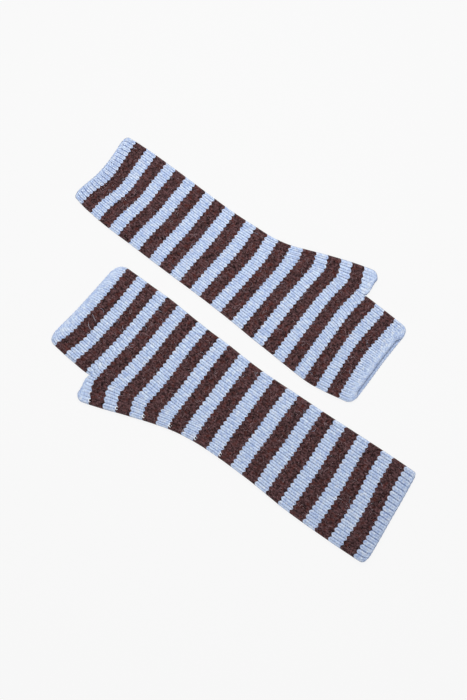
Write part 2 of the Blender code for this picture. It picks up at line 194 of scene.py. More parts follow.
# The outline: the little-finger side, the thumb side, and between them the fork, where the edge
# ribs leave the main ones. Past the crotch the fork is the hand's own thumb-side edge.
LOWER_SECTIONS = (
    #       along  little  fork  thumb
    Section(0, -43.4, 25.3, 43.6),
    Section(27, -43.8, 25.4, 43.9),
    Section(66, -43.2, 25.0, 43.3),
    Section(86, -42.8, 24.4, 42.3),
    Section(106, -42.5, 22.8, 40.3),
    Section(126, -42.4, 21.6, 38.8),
    Section(156, -42.2, 21.0, 37.7),
    Section(176, -43.1, 22.4, 38.2),
    Section(196, -44.7, 26.6, 40.8),
    Section(216, -45.6, 30.4, 46.0),
    Section(236, -47.2, 33.4, 52.2),
    Section(256, -49.0, 36.9, 58.8),
    Section(278, -49.7, 40.7, 65.2),
    Section(296, -50.3, 39.4, 70.0),
    Section(306, -50.4, 38.1, 72.5),
    Section(322, -49.8, 35.6, 76.0),
)
UPPER_SECTIONS = (
    Section(0, -28.0, 21.0, 37.0),
    Section(13, -31.2, 22.4, 37.5),
    Section(23, -32.7, 22.9, 37.9),
    Section(38, -34.3, 22.6, 37.9),
    Section(58, -35.3, 21.9, 37.2),
    Section(98, -37.5, 19.9, 35.3),
    Section(118, -38.4, 19.1, 34.6),
    Section(138, -39.4, 19.2, 34.9),
    Section(158, -40.8, 20.8, 35.6),
    Section(173, -42.0, 24.4, 38.4),
    Section(187, -43.5, 28.8, 43.2),
    Section(207, -45.1, 33.6, 50.2),
    Section(227, -46.8, 36.6, 56.3),
    Section(248, -48.1, 38.4, 61.6),
    Section(262, -46.9, 37.6, 65.0),
    Section(282, -43.8, 36.2, 70.0),
    Section(292, -41.8, 35.2, 72.5),
)

# Three long pale fibres that lie over the lower warmer's last brown stripe, by five points each:
# their distances along and across.
LONG_FIBRES = (
    ((303.7, -3.3), (302.1, -1.9), (300.2, -0.6), (298.0, 0.4), (296.1, 1.1)),
    ((303.0, 3.8), (301.5, 5.8), (299.9, 7.2), (298.1, 8.4), (296.0, 9.0)),
    ((301.2, -9.9), (299.7, -10.7), (298.0, -10.6), (296.5, -9.6), (295.4, -7.9)),
)
# Courses where the blue yarn is picked up again, with a small loop by the thumb side
LOOP_COURSES = (72, 84, 96, 108, 120, 132)

LOWER = Warmer(
    name="lower_knit",
    node="lower_warmer",
    lines=LOWER_LINES,
    sections=LOWER_SECTIONS,
    corners=Corners(2.8, 5.4, 8.0, 6.0, 5.2),
    gusset_course=85,
    crotch_course=135 + 1 / 3,
    last_course=161,
    thumb_rise=5.2,
    thumb_fade=7.5,
    mouth_lift=0.3,
    draw_back=0.0,
    turn=146.0,
    cut=(0.232, 0.322),
    cut_area=0.0554,
    seed=1,
    long_fibres=LONG_FIBRES,
    loop_courses=LOOP_COURSES,
)
UPPER = Warmer(
    name="upper_knit",
    node="upper_warmer",
    lines=UPPER_LINES,
    sections=UPPER_SECTIONS,
    corners=Corners(3.2, 5.2, 5.2, 5.8, 5.8),
    gusset_course=88,
    crotch_course=137,
    last_course=163,
    thumb_rise=5.6,
    thumb_fade=9.0,
    mouth_lift=0.7,
    draw_back=2.9,
    turn=-34.0,
    cut=(0.222, 0.292),
    cut_area=0.0457,
    seed=2,
    long_fibres=(),
    loop_courses=(),
)


# ---------------------------------------------------------------- reading the tables

def smooth(keys, values, at):
    """Places on a smooth curve through values at keys, each value a number or an array of them."""
    at, *values = np.broadcast_arrays(at, *values)
    values = np.array(values)
    keys = np.array(keys, float)
    after = np.append(np.arange(1, len(keys)), len(keys) - 1)
    before = np.append(0, np.arange(len(keys) - 1))
    run = (keys[after] - keys[before]).reshape(-1, *[1] * at.ndim)
    slopes = (values[after] - values[before]) / run
    low = np.clip(np.searchsorted(keys, at, side="right") - 1, 0, len(keys) - 2)

    def pick(table, index):
        return np.take_along_axis(table, index[None], axis=0)[0]

    span = keys[low + 1] - keys[low]
    share = (at - keys[low]) / span
    inside = np.clip(share, 0.0, 1.0)
    start = pick(values, low)
    rise = pick(values, low + 1) - start
    turn_in = pick(slopes, low) * span - rise
    turn_out = rise - pick(slopes, low + 1) * span
    bow = inside * (1 - inside) * ((1 - inside) * turn_in + inside * turn_out)
    before_first = np.minimum(share, 0) * pick(slopes, low)
    beyond = before_first + np.maximum(share - 1, 0) * pick(slopes, low + 1)
    return start + rise * inside + bow + beyond * span


def read(table, column, at):
    """A column's values at places along the table, on a smooth curve through its rows."""
    return smooth([row[0] for row in table], [getattr(row, column) for row in table], at)


def ease(share):
    """A smooth step from 0 to 1."""
    share = np.clip(share, 0.0, 1.0)
    return share * share * (3 - 2 * share)


# ---------------------------------------------------------------- the flat knitting

def course_line(warmer, course, across):
    """Where a course of the main ribs crosses a place: a smooth curve through the five places."""
    values = [read(warmer.lines, column, course) for column in PLACES]
    return smooth(list(PLACES.values()), values, across)


def gusset_share(warmer, course):
    """How much of the gusset has been added by a course: 0 before it, 1 at the crotch."""
    length = warmer.crotch_course - warmer.gusset_course
    return np.clip((course - warmer.gusset_course) / length, 0, 1)


def along_at(warmer, course, across, fork):
    """Where a course crosses a place, with its turn towards the forearm in the edge ribs."""
    beyond = np.maximum(0.0, across - fork)
    eased = np.where(beyond > BEND_EASE, beyond - BEND_EASE / 2, beyond * beyond / (2 * BEND_EASE))
    bend = FULL_BEND * ease(gusset_share(warmer, course) / BEND_GROWTH)
    return course_line(warmer, course, np.minimum(across, fork + BEND_EASE)) - bend * eased


def rounded_in(radius, distance):
    """How far a rounded corner draws a side in, at a distance from the opening."""
    short = np.clip(radius - distance, 0, radius)
    return radius - np.sqrt(radius * radius - short * short)


Edges = namedtuple("Edges", "little fork thumb")


def row_edges(warmer, course):
    """The little-finger side, fork and thumb side of each row, as places across the warmer."""
    little = np.full_like(course, PLACES["little"])
    fork = np.full_like(course, PLACES["near_thumb"])
    thumb = np.full_like(course, PLACES["thumb"])
    for _ in range(SETTLE_ROUNDS):
        little = read(warmer.sections, "little", along_at(warmer, course, little, fork))
        fork = read(warmer.sections, "fork", along_at(warmer, course, fork, fork))
        thumb = read(warmer.sections, "thumb", along_at(warmer, course, thumb, fork))
    first = np.zeros_like(course)
    last = np.full_like(course, warmer.last_course)
    corners = warmer.corners
    to_forearm = along_at(warmer, course, little, fork) - along_at(warmer, first, little, fork)
    to_hand = along_at(warmer, last, little, fork) - along_at(warmer, course, little, fork)
    little = little + rounded_in(corners.forearm_little, to_forearm)
    little = little + rounded_in(corners.hand_little, to_hand)
    to_forearm = along_at(warmer, course, thumb, fork) - along_at(warmer, first, thumb, fork)
    thumb = thumb - rounded_in(corners.forearm_thumb, to_forearm)
    to_hand = along_at(warmer, last, fork, fork) - along_at(warmer, course, fork, fork)
    past_crotch = course > warmer.crotch_course
    fork = fork - np.where(past_crotch, rounded_in(corners.hand_fork, to_hand), 0)
    return Edges(little, fork, thumb)


# ---------------------------------------------------------------- the two sides of the wall

# One side of the wall: how far it lies inside the outline, its half thickness, how many courses
# before the crotch's own it parts into hand and thumb, and how high its ribs are.
Surface = namedtuple("Surface", "inset half crotch_back upper_rib under_rib")
OUTSIDE = Surface(0.0, HALF_THICKNESS, 0.0, RIB_HEIGHT, UNDER_RIB_HEIGHT)
INSIDE = Surface(SIDE_WALL, INNER_HALF, CROTCH_WALL_COURSES, 0.0, 0.0)

# Rows of one side of the wall. `stub` is the share of the thumb stub's length that a row lies at,
# and `rim` is 1 for the outside's row on an opening's edge.
Rows = namedtuple("Rows", "course stub rim")


def run_rows(warmer, run):
    """The rows of the outside and of the inside of a run, from the forearm opening to its far one."""
    crotch = warmer.crotch_course
    last = warmer.last_course
    inner_crotch = crotch - CROTCH_WALL_COURSES
    outer = np.arange(round(last * ROWS_PER_COURSE) + 1) / ROWS_PER_COURSE
    inner = np.concatenate([
        [0, INNER_RIM_ROW],
        np.arange(INNER_ROW_COURSES, inner_crotch, INNER_ROW_COURSES),
        [inner_crotch, inner_crotch + INNER_RIM_ROW, inner_crotch + CROTCH_EASE],
        np.arange(INNER_HAND_COURSE, last - INNER_ROW_COURSES, INNER_ROW_COURSES),
        [last - INNER_ROW_COURSES, last - 1, last - INNER_RIM_ROW, last],
    ])
    if run == "main":
        rim = (outer == 0) | (outer == last)
        return Rows(outer, 0 * outer, 1.0 * rim), Rows(inner, 0 * inner, 0 * inner)
    outer = outer[: round(crotch * ROWS_PER_COURSE) + 1]
    inner = inner[inner <= inner_crotch]
    stub = np.arange(1, STUB_ROWS + 1) / STUB_ROWS
    rim = np.append(outer == 0, stub == 1)
    course = np.append(outer, np.full(STUB_ROWS, crotch))
    outer_rows = Rows(course, np.append(0 * outer, stub), 1.0 * rim)
    course = np.append(inner, np.full(len(INNER_STUB_ROWS), inner_crotch))
    return outer_rows, Rows(course, np.append(0 * inner, INNER_STUB_ROWS), 0 * course)


def from_row(rows, first):
    """The rows from one of them on."""
    return Rows(*[column[first:] for column in rows])


def rib_places(warmer, course, run, columns):
    """Each column's share across its run, its place in its rib (-1 to 1) and the rib's width share."""
    if run == "edge":
        count = np.full_like(course, EDGE_RIBS)
        ribs = EDGE_RIBS
    else:
        count = MAIN_RIBS + GUSSET_RIBS * gusset_share(warmer, course)
        ribs = MAIN_RIBS + GUSSET_RIBS
    number = np.arange(ribs * columns + 1) / columns
    rib = np.minimum(np.floor(number), ribs - 1)
    start = np.minimum(rib[None, :], count[:, None])
    width = np.clip(count[:, None] - rib[None, :], 0, 1)
    within = (number - rib)[None, :]
    share = (start + within * width) / count[:, None]
    return share, 2 * within - 1 + 0 * width, width / count[:, None]


def near_opening(warmer, rows, run, share):
    """1 on an opening's edge, easing to 0 over the smoother courses next to it."""
    forearm = ease(rows.course / FOREARM_FADE)
    hand = ease((warmer.last_course - rows.course) / HAND_FADE)
    near = 1 - (forearm * hand)[:, None] + 0 * share
    if run == "edge":
        to_edge = (1 - rows.stub) * STUB_COURSES + warmer.crotch_course - rows.course
        thumb = 1 - ease(to_edge / warmer.thumb_fade)
        past_crotch = ease(rows.stub / STUB_FADE_SHARE)[:, None]
        from_hand = np.maximum(past_crotch, ease(share / STUB_FADE_SHARE))
        near = np.maximum(near, thumb[:, None] * from_hand)
    return near


def arched(course, near, place, strength):
    """The course that a point of a rib lies on, where each course arches over the rib."""
    arch = ARCH + (RIM_ARCH - ARCH) * near
    return course + arch * (MEAN_ARCH_PLACE - 1 + strength * (1 - np.abs(place) ** ARCH_POWER))


def relief(place, row_phase):
    """The share of a rib's height at a place in a stitch: its two legs, and a dip to the next one."""
    legs = np.interp(np.abs(place), LEG_PLACES, LEG_HEIGHTS)
    dip = STITCH_DIP / RIB_HEIGHT * np.cos(pi * row_phase) ** 2
    return legs * (1 - dip)


def rim_shift(rows):
    """How far the row on an opening's edge moves towards the hand."""
    return rows.rim[:, None] * RIM_BULGE / 2


def rim_height(rows, half):
    """The share of its height that a row keeps, less than 1 on an opening's rounded edge."""
    return 1 - rows.rim[:, None] * RIM_DROP / half


def wall_points(warmer, surface, rows, run, over, columns):
    """The points of one run of one side of the wall, a row of them for each row of knitting."""
    edges = row_edges(warmer, rows.course)
    little, fork, thumb = (edge[:, None] for edge in edges)
    course = rows.course[:, None]
    stub = rows.stub[:, None]
    half = surface.half
    share, place, rib_share = rib_places(warmer, rows.course, run, columns)

    # `low` and `high` are where the layers meet, and the run lies from `start` to `end`. Past the
    # crotch, the hand and the stub have round sides of their own, which `side_points` makes.
    if run == "main":
        past = np.clip((course - warmer.crotch_course + surface.crotch_back) / CROTCH_EASE, 0, 1)
        roundness = half * np.sqrt(past)
        low = little + surface.inset
        high = np.where(past > 0, fork, thumb) - surface.inset
        start = low
        end = np.where(past > 0, high - roundness, fork)
        low_half = half
        high_half = np.where(past > 0, np.maximum(roundness, TINY), half)
    else:
        roundness = half * np.sqrt(np.clip(stub / STUB_ROUND_SHARE, 0, 1))
        thumb = stub_edge(warmer, rows, edges.fork, edges.thumb)[:, None]
        low = np.where(stub > 0, fork + CROTCH_GAP * stub, little) + surface.inset
        high = thumb - surface.inset
        start = np.where(stub > 0, low + roundness, fork)
        end = high
        low_half = np.where(stub > 0, np.maximum(roundness, TINY), half)
        high_half = half
    across = start + (end - start) * share
    strength = np.clip((end - start) * rib_share / FULL_RIB_WIDTH, 0, 1)

    # The section is a flat oval: `nearest` runs from 0 on a side to 1 where the layer is flat.
    from_low = np.clip((across - low) / low_half, 0, 1)
    from_high = np.clip((high - across) / high_half, 0, 1)
    nearest = np.minimum(from_low, from_high)
    rise = np.sqrt(1 - (1 - nearest) ** 2)
    side = np.where(from_low < from_high, -1.0, 1.0)

    near = near_opening(warmer, rows, run, share)
    along = along_at(warmer, arched(course, near, place, strength), across, fork)
    along = along + stub_reach(warmer, stub, across, fork, thumb) + rim_shift(rows)
    rib = (surface.upper_rib if over else surface.under_rib) * strength
    rib = rib * (1 - (1 - RIB_AT_OPENING) * near)
    bump = rib * relief(place, course % 1)
    height = (half * rise + bump * rise) * (1 if over else -1) * rim_height(rows, half)
    across = across + bump * (1 - nearest) * side

    # The upper layer lifts and draws back at the hand opening, between its two sides.
    if over:
        to_hand = ease((course - warmer.last_course + MOUTH_COURSES) / MOUTH_COURSES)
        clear_of_sides = ease(np.minimum(share, 1 - share) / MOUTH_SIDE_SHARE) * (run == "main")
        height = height + warmer.mouth_lift * to_hand * clear_of_sides
        along = along - warmer.draw_back * to_hand * clear_of_sides
    return np.stack([along, across, LAYER_MIDDLE + height], axis=-1)


def stub_reach(warmer, stub, across, fork, thumb):
    """How far past the crotch's course a point of the thumb's stub lies."""
    reach = np.clip((across - fork) / np.maximum(thumb - fork, TINY), 0, 1)
    return stub * (STUB_AT_CROTCH + (warmer.thumb_rise - STUB_AT_CROTCH) * reach ** STUB_HOLLOW)


def stub_edge(warmer, rows, fork, thumb):
    """The thumb side of each row, on the stub too."""
    for _ in range(SETTLE_ROUNDS):
        along = along_at(warmer, rows.course, thumb, fork) + rows.stub * warmer.thumb_rise
        on_stub = read(warmer.sections, "thumb", along)
        thumb = np.where(rows.stub > 0, on_stub, thumb)
    drawn_in = rounded_in(warmer.corners.thumb, (1 - rows.stub) * warmer.thumb_rise)
    return thumb - np.where(rows.stub > 0, drawn_in, 0)


def side_points(warmer, surface, rows, run):
    """The round side of the hand or of the stub next to the crotch, from its top to its underside."""
    edges = row_edges(warmer, rows.course)
    fork = edges.fork[:, None]
    course = rows.course[:, None]
    stub = rows.stub[:, None]
    half = surface.half
    angle = np.arange(SIDE_STEPS + 1) / SIDE_STEPS * pi
    share = np.full_like(stub, 1.0 if run == "main" else 0.0)
    yarn = arched(course, near_opening(warmer, rows, run, share), 1.0, 1.0)
    if run == "main":
        past = np.clip((course - warmer.crotch_course + surface.crotch_back) / CROTCH_EASE, 0, 1)
        across = fork - surface.inset * (past > 0) - half * np.sqrt(past) * (1 - np.sin(angle))
        along = along_at(warmer, yarn, across, fork)
    else:
        roundness = half * np.sqrt(np.clip(stub / STUB_ROUND_SHARE, 0, 1))
        low = fork + (CROTCH_GAP * stub + surface.inset) * (stub > 0)
        across = low + roundness * (1 - np.sin(angle))
        thumb = stub_edge(warmer, rows, edges.fork, edges.thumb)[:, None]
        along = along_at(warmer, yarn, across, fork) + stub_reach(warmer, stub, across, fork, thumb)
    along = along + rim_shift(rows)
    height = half * np.cos(angle) * rim_height(rows, half)
    return np.stack([along, across, LAYER_MIDDLE + height + 0 * along], axis=-1)


# ---------------------------------------------------------------- building the mesh

# A grid of points, with the course of each row, and the number of its first rib and of its columns
# to a rib. `upper` is set where loose fibres may start from it.
Grid = namedtuple("Grid", "points courses near_opening island first_rib columns upper")
Layers = namedtuple("Layers", "stitches flat near_opening")


def grid_step(place, last):
    """The number of the row or column at a place of a new grid, which runs from -1 to 1."""
    return round((place + 1) / 2 * last)


def lay_grid(mesh, grid, layers):
    """A grid of faces moved to its points, with its wool, its stitch map and its flat map."""
    row_count, column_count = grid.points.shape[:2]
    last_row = row_count - 1
    last_column = column_count - 1
    made = bmesh.ops.create_grid(mesh, x_segments=last_column, y_segments=last_row, size=1.0)
    cells = {
        vertex: (grid_step(vertex.co.y, last_row), grid_step(vertex.co.x, last_column))
        for vertex in made["verts"]
    }
    island = grid.island
    for vertex, (row, column) in cells.items():
        vertex.co = grid.points[row, column]
        vertex[layers.near_opening] = grid.near_opening[row, column]
    for face in {face for vertex in cells for face in vertex.link_faces}:
        middle = 0.0
        for loop in face.loops:
            row, column = cells[loop.vert]
            middle += grid.courses[row] / len(face.loops)
            loop[layers.stitches].uv = (grid.first_rib + column / grid.columns, grid.courses[row])
            loop[layers.flat].uv = (
                island.left + island.width * column / last_column,
                island.bottom + island.height * row / last_row,
            )
        face.material_index = wool_of(middle)
        face.smooth = True


def wool_of(course):
    """Which wool a course is knitted in."""
    place = course - COURSES_PER_STRIPE
    striped = 0 <= place < STRIPES * COURSES_PER_STRIPE + BROWN_OVERLAP
    brown = place % (2 * COURSES_PER_STRIPE) < COURSES_PER_STRIPE + BROWN_OVERLAP
    return BROWN if striped and brown else BLUE


def beside(island):
    """The place on the flat map next to an island, for the inside of what lies on it."""
    return island._replace(left=island.left + island.width + MAP_GAP)


def over_rim(outer, inner, outer_course, inner_course):
    """Three rows over an opening's edge, from the outside to the inside."""
    outward = np.array([1.0 if outer_course > 0 else -1.0, 0, 0]) * RIM_BULGE
    points = np.stack([outer, (outer + inner) / 2 + outward, inner])
    return points, np.array([outer_course, outer_course, inner_course])


def run_grids(warmer, run, over, outer_rows, inner_rows, island):
    """A run's outside, and its two rims with its inside, from the far opening to the forearm's."""
    columns = UPPER_COLUMNS if over else UNDER_COLUMNS
    first_rib = 0 if run == "main" else MAIN_RIBS + GUSSET_RIBS
    outer = wall_points(warmer, OUTSIDE, outer_rows, run, over, columns)
    inner = wall_points(warmer, INSIDE, inner_rows, run, over, columns)
    outer_courses = outer_rows.course + outer_rows.stub
    inner_courses = inner_rows.course + inner_rows.stub
    share = rib_places(warmer, outer_rows.course, run, columns)[0]
    near = near_opening(warmer, outer_rows, run, share)
    far_rim, far_courses = over_rim(outer[-1], inner[-1], outer_courses[-1], inner_courses[-1])
    first_rim, first_courses = over_rim(outer[0], inner[0], outer_courses[0], inner_courses[0])
    around = np.concatenate([far_rim, inner[::-1][1:-1], first_rim[::-1]])
    courses = np.concatenate([far_courses, inner_courses[::-1][1:-1], first_courses[::-1]])
    no_relief = np.ones(around.shape[:2])
    return [
        Grid(outer, outer_courses, near, island, first_rib, columns, over),
        Grid(around, courses, no_relief, beside(island), first_rib, columns, False),
    ]


def side_grids(warmer, run, outer_rows, inner_rows, island):
    """The round side of the hand or the stub by the crotch: its outside, and its rim and inside."""
    inner_crotch = warmer.crotch_course - CROTCH_WALL_COURSES
    outer_rows = from_row(outer_rows, round(warmer.crotch_course * ROWS_PER_COURSE))
    inner_rows = from_row(inner_rows, np.count_nonzero(inner_rows.course < inner_crotch))
    outer = side_points(warmer, OUTSIDE, outer_rows, run)
    inner = side_points(warmer, INSIDE, inner_rows, run)
    outer_courses = outer_rows.course + outer_rows.stub
    inner_courses = inner_rows.course + inner_rows.stub
    share = np.full(outer.shape[:2], 1.0 if run == "main" else 0.0)
    near = near_opening(warmer, outer_rows, run, share)
    rim, rim_courses = over_rim(outer[-1], inner[-1], outer_courses[-1], inner_courses[-1])
    around = np.concatenate([rim, inner[::-1][1:]])
    courses = np.append(rim_courses, inner_courses[::-1][1:])
    no_relief = np.ones(around.shape[:2])
    return [
        Grid(outer, outer_courses, near, island, 0, SIDE_STEPS, False),
        Grid(around, courses, no_relief, beside(island), 0, SIDE_STEPS, False),
    ]


def wall_grids(warmer):
    """Every grid of a warmer's wall, outside and inside."""
    grids = []
    for over in (True, False):
        for run, island in RUN_ISLANDS.items():
            if not over:
                island = island._replace(left=island.left + MAP_HALF)
            grids += run_grids(warmer, run, over, *run_rows(warmer, run), island)
    for run, island in SIDE_ISLANDS.items():
        grids += side_grids(warmer, run, *run_rows(warmer, run), island)
    return grids


def turned(warmer, points):
    """Points of a warmer's flat frame, turned to how it lies in the photo."""
    turn = np.radians(warmer.turn)
    spin = np.array([[np.cos(turn), np.sin(turn), 0], [-np.sin(turn), np.cos(turn), 0], [0, 0, 1]])
    return points @ spin


def build_knit(warmer, grids, wools):
    """One warmer's whole knitted tube, as one closed mesh over its solid. Returns its shift."""
    mesh = bmesh.new()
    mesh.loops.layers.uv.new("stitches")
    mesh.loops.layers.uv.new("OFBake")
    mesh.verts.layers.float.new("near_opening")
    maps = mesh.loops.layers.uv
    layers = Layers(maps["stitches"], maps["OFBake"], mesh.verts.layers.float["near_opening"])
    for grid in grids:
        lay_grid(mesh, grid._replace(points=turned(warmer, grid.points) * MILLIMETRE), layers)
    bmesh.ops.remove_doubles(mesh, verts=mesh.verts, dist=MERGE_DISTANCE)
    bmesh.ops.recalc_face_normals(mesh, faces=mesh.faces)

    # Its middle goes over the middle of its solid.
    low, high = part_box(warmer.node)
    places = np.array([vertex.co for vertex in mesh.verts])
    middle = (places.min(0) + places.max(0)) / 2
    shift = Vector(((low.x + high.x) / 2 - middle[0], (low.y + high.y) / 2 - middle[1], 0))
    bmesh.ops.translate(mesh, verts=mesh.verts, vec=shift)
    knit = finished(mesh, warmer.name, wools)
    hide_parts(warmer.node)
    return shift


def finished(mesh, name, wools):
    """The mesh as a piece of the pair, in its wools."""
    data = bpy.data.meshes.new(name)
    mesh.to_mesh(data)
    mesh.free()
    for wool in wools:
        data.materials.append(wool)
    piece = bpy.data.objects.new(name, data)
    bpy.context.scene.collection.objects.link(piece)
    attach(piece, "root")
    return piece


def fibre_paths(warmer, grids):
    """Where each loose fibre runs: from a stitch, in a shallow bow, back down to the cloth."""
    rng = np.random.default_rng(warmer.seed)
    uppers = [grid for grid in grids if grid.upper]
    sizes = np.array([grid.points.shape[0] * grid.points.shape[1] for grid in uppers], float)
    spine = np.arange(FIBRE_STEPS + 1) / FIBRE_STEPS
    paths = []
    wools = []
    for _ in range(2 ** FIBRE_DOUBLINGS):
        grid = uppers[rng.choice(len(uppers), p=sizes / sizes.sum())]
        row = rng.integers(FIBRE_MARGIN, grid.points.shape[0] - FIBRE_MARGIN)
        column = rng.integers(grid.points.shape[1])
        along, across, height = grid.points[row, column]
        to_side = np.abs(across - grid.points[row, [0, -1], 1]).min()
        to_end = np.abs(along - grid.points[[0, -1], column, 0]).min()
        length = min(rng.uniform(*FIBRE_LENGTH), min(to_side, to_end) + FIBRE_OVERHANG)
        heading = rng.uniform(0, 2 * pi)
        forward = spine * length
        sideways = rng.uniform(-FIBRE_BOW, FIBRE_BOW) * length * 4 * spine * (1 - spine)
        lift = rng.uniform(*FIBRE_LIFT) * np.sin(pi * spine) - FIBRE_RADIUS
        along = along + forward * np.cos(heading) - sideways * np.sin(heading)
        across = across + forward * np.sin(heading) + sideways * np.cos(heading)
        paths.append(np.stack([along, across, height + lift], axis=-1))
        wools.append(wool_of(grid.courses[row]))
    radii = np.full(len(paths), FIBRE_RADIUS)

    # The long fibres take the places of the first ones.
    top = LAYER_MIDDLE + HALF_THICKNESS + RIB_HEIGHT
    for number, places in enumerate(warmer.long_fibres):
        paths[number] = np.array([(along, across, top) for along, across in places])
        wools[number] = BLUE
        radii[number] = LONG_FIBRE_RADIUS
    return turned(warmer, np.array(paths)) * MILLIMETRE, wools, radii * MILLIMETRE


def build_fuzz(warmer, grids, shift, wools):
    """Loose ends of wool on the upper side: thin three-sided tubes, closed to a point at each end."""
    paths, path_wools, radii = fibre_paths(warmer, grids)
    mesh = bmesh.new()
    layers = [mesh.verts.layers.int.new(name) for name in ("fibre", "side", "step")]
    fibre, side, step = [mesh.verts.layers.int[layer.name] for layer in layers]
    made = bmesh.ops.create_grid(mesh, x_segments=FIBRE_SIDES, y_segments=FIBRE_STEPS, size=1.0)
    for vertex in made["verts"]:
        vertex[side] = grid_step(vertex.co.x, FIBRE_SIDES) % FIBRE_SIDES
        vertex[step] = grid_step(vertex.co.y, FIBRE_STEPS)
    for doubling in range(FIBRE_DOUBLINGS):
        twins = bmesh.ops.duplicate(mesh, geom=[*mesh.verts, *mesh.edges, *mesh.faces])["geom"]
        for vertex in (item for item in twins if isinstance(item, bmesh.types.BMVert)):
            vertex[fibre] += 2 ** doubling
    ahead = np.gradient(paths, axis=1)
    across = np.stack([-ahead[..., 1], ahead[..., 0], 0 * ahead[..., 0]], axis=-1)
    across = across / np.linalg.norm(across, axis=-1, keepdims=True)
    for vertex in mesh.verts:
        place = (vertex[fibre], vertex[step])
        radius = radii[vertex[fibre]] * (0 < vertex[step] < FIBRE_STEPS)
        angle = vertex[side] * 2 * pi / FIBRE_SIDES
        outward = across[place] * np.cos(angle) + np.array([0, 0, np.sin(angle)])
        vertex.co = paths[place] + radius * outward
    for face in mesh.faces:
        face.material_index = path_wools[face.verts[0][fibre]]
        face.smooth = True
    bmesh.ops.translate(mesh, verts=mesh.verts, vec=shift)
    bmesh.ops.remove_doubles(mesh, verts=mesh.verts, dist=MERGE_DISTANCE)
    bmesh.ops.recalc_face_normals(mesh, faces=mesh.faces)
    finished(mesh, warmer.name.replace("knit", "fuzz"), wools)


def yarn_ring(mesh, radius):
    """A ring of yarn about Z: a small circle, spun all the way round. Returns its vertices."""
    known = set(mesh.verts)
    section = bmesh.ops.create_circle(mesh, segments=YARN_SEGMENTS, radius=YARN_RADIUS)["verts"]
    upright = Matrix.Rotation(pi / 2, 3, "X")
    bmesh.ops.rotate(mesh, verts=section, cent=(0, 0, 0), matrix=upright)
    bmesh.ops.translate(mesh, verts=section, vec=(radius, 0, 0))
    outline = list(dict.fromkeys(edge for vertex in section for edge in vertex.link_edges))
    bmesh.ops.spin(
        mesh, geom=section + outline, cent=(0, 0, 0), axis=(0, 0, 1), angle=2 * pi,
        steps=LOOP_SEGMENTS, use_merge=True,
    )
    return [vertex for vertex in mesh.verts if vertex not in known]


def build_loops(warmer, shift, wools):
    """Small loops by the thumb side, where the blue yarn is picked up over the end of the brown."""
    mesh = bmesh.new()
    top = LAYER_MIDDLE + HALF_THICKNESS + RIB_HEIGHT / 2
    courses = np.array(warmer.loop_courses, float)
    edges = row_edges(warmer, courses)
    across = edges.thumb - LOOP_INSET
    along = along_at(warmer, courses, across, edges.fork)
    for place in turned(warmer, np.stack([along, across, np.full_like(along, top)], axis=-1)):
        for loop in LOOPS:
            ring = yarn_ring(mesh, loop.radius)
            tilt = Matrix.Rotation(loop.tilt, 3, "Y")
            bmesh.ops.rotate(mesh, verts=ring, cent=(0, 0, 0), matrix=tilt)
            bmesh.ops.translate(mesh, verts=ring, vec=place)
            for face in {face for vertex in ring for face in vertex.link_faces}:
                face.material_index = loop.wool
                face.smooth = True
    bmesh.ops.scale(mesh, vec=(MILLIMETRE,) * 3, verts=mesh.verts)
    bmesh.ops.translate(mesh, verts=mesh.verts, vec=shift)
    bmesh.ops.recalc_face_normals(mesh, faces=mesh.faces)
    finished(mesh, warmer.name.replace("knit", "yarn_loops"), wools)


# ---------------------------------------------------------------- materials

WOOL_SPECULAR = 0.12
KNIT_ROUGHNESS = 0.92
BLOOM_ROUGHNESS = 0.6
LOOSE_ROUGHNESS = 0.8

# The wool's heather, in millimetres. A real fibre is 0.02 mm thick and doesn't show at 0.83 mm to a
# pixel, so clumps of fibres are drawn instead, as coarse as they need to be to show.
CLUMP_SIZE = 1.5625
FLECK_SIZE = 3.03
LOOSE_CLUMP_SIZE = 4.0
CLUMP_BUMP = 0.5          # how high the clumps stand
CLUMP_TONES = (0.41, 0.6)       # the noise that gives the darkest and the lightest clumps
FLECK_TONES = (0.52, 0.72)
LOOSE_TONES = (0.35, 0.65)
FLECK_STRENGTH = 0.7
LEG_SHADE_SHARE = 0.35    # how far the tone is that of the stitch's leg, and not of its fibres

# The dark lines between legs of yarn are painted shade, where the legs meet and sink. Places are in
# ribs, which are 4.1 mm wide, and courses, which are 2 mm long, so a line fades out 0.5 mm from its
# middle.
LEGS_PER_RIB = 2
LINE_REACH = 0.12
LINE_CORE = 0.02
LEG_LINE_DEPTH = 0.62     # of a line between a rib's two legs, where 1 is a groove between ribs
STITCH_REACH = 0.32       # lines are whole between two courses, and weaken this far from there
STITCH_LINE_DEPTH = 0.55
LINE_AT_OPENING = 0.2     # the share of a line's depth that is left on an opening's edge
# Painted shade on the rounded rims of the openings and over the inside of the tube
RIM_SHADE_BEGINS = 0.9         # how near an opening, from 0 to 1, its rim's painted shade sets in
RIM_SHADE_STRENGTH = 0.3

# The ribs draw together over the first courses. The grooves are wider there, by 0.2 mm, and hide
# half of what shows of the lines between a rib's legs.
DRAWN_COURSES = (14.0, 4.0)
DRAWN_WIDENING = 0.05
DRAWN_LEG_LINE = 0.5


def linear(hex_colour):
    """A colour written in sRGB hex, as the shader needs it."""
    channels = [int(hex_colour[index:index + 2], 16) / 255 for index in (1, 3, 5)]
    return (*[c / 12.92 if c <= 0.04045 else ((c + 0.055) / 1.055) ** 2.4 for c in channels], 1.0)


def add(tree, kind, inputs=(), **settings):
    """Adds a node with its settings, its values and its links.

    Sockets that share a name go by number: a Math node's are 0 to 2, and a Mix node's are 0 for the
    share, 2 and 3 for two numbers, and 6 and 7 for two colours.
    """
    node = tree.nodes.new(kind)
    for name, value in settings.items():
        setattr(node, name, value)
    for socket, value in dict(inputs).items():
        if isinstance(value, bpy.types.NodeSocket):
            tree.links.new(value, node.inputs[socket])
        else:
            node.inputs[socket].default_value = value
    return node


